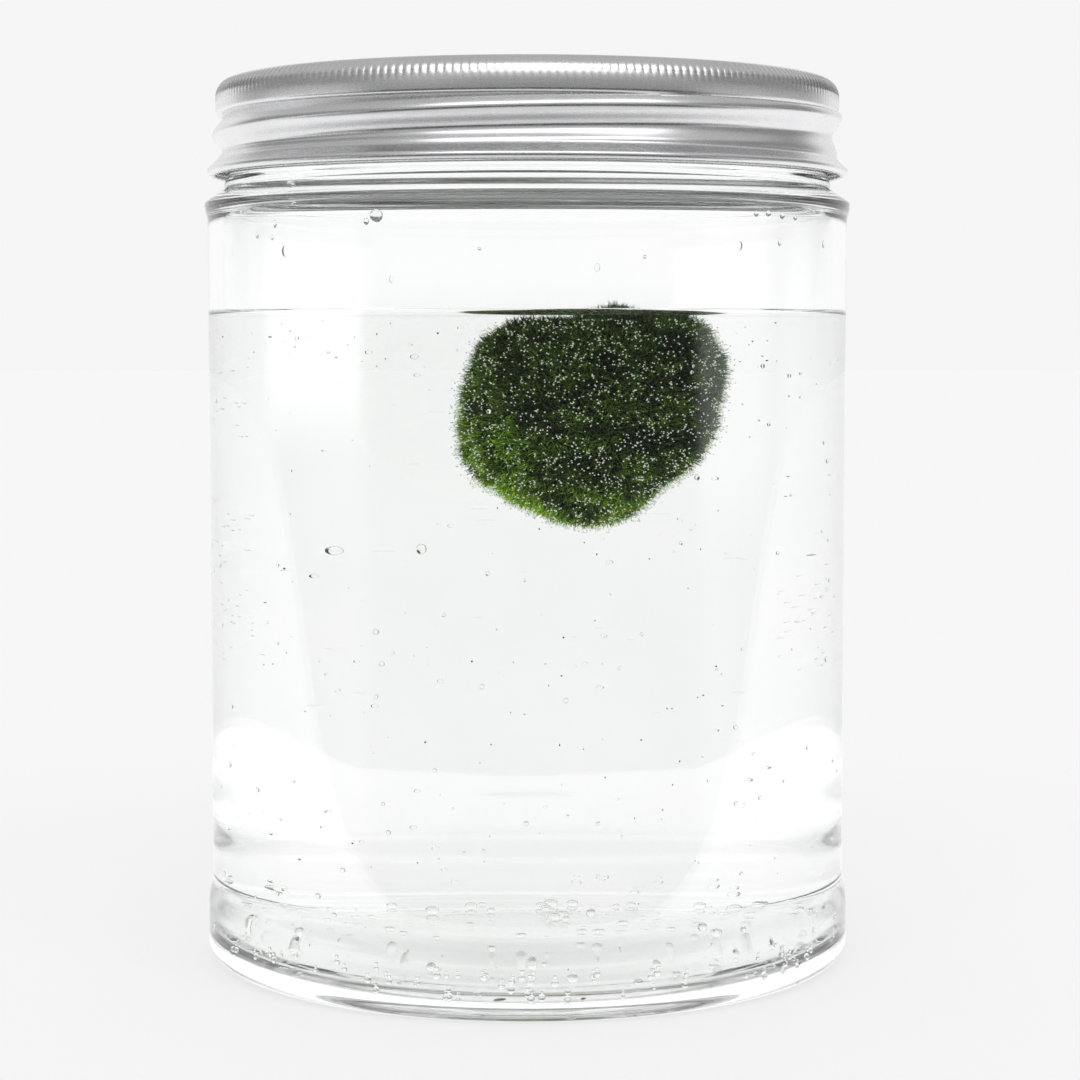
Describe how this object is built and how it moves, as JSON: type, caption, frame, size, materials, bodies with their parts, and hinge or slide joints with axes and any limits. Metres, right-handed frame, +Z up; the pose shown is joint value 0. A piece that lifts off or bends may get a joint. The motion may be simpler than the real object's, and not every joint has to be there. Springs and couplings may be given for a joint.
{
  "type": "marimo moss ball in a jar",
  "caption": "Round green moss ball floating under the water of a clear screw-top jar with an aluminium lid that turns on a thread.",
  "frame": {"origin": "centre of the jar's foot, on the surface that it stands on", "axes": "+Z up the jar's axis; the moss ball floats on the +X side; -Y is the front"},
  "size_m": [0.0934, 0.0934, 0.1265],
  "materials": {
    "clear_plastic": "clear moulded PET, glossy, see-through",
    "water": "clear still water with small bubbles and specks",
    "moss": "dense green filaments, yellow-green tips, soft fuzz",
    "foam": "white closed-cell foam liner",
    "aluminium": "satin rolled sheet, fine grain, bright rolled edges"
  },
  "bodies": {
    "jar": {"jar": "clear_plastic", "water": "water", "moss_ball": "moss"},
    "liner": {"liner": "foam"},
    "lid": {"lid": "aluminium"}
  },
  "joints": [
    {"name": "lid_rise", "type": "slide", "parent": "jar", "child": "liner", "axis": [0, 0, 1], "range_m": [0, 0.00508]},
    {"name": "lid_turn", "type": "hinge", "parent": "liner", "child": "lid", "pos_m": [0, 0, 0.12], "axis": [0, 0, 1], "range_deg": [0, 360]}
  ],
  "couplings": [
    {"joint": "lid_rise", "follows": "lid_turn", "m_per_rad": 0.00080851}
  ]
}
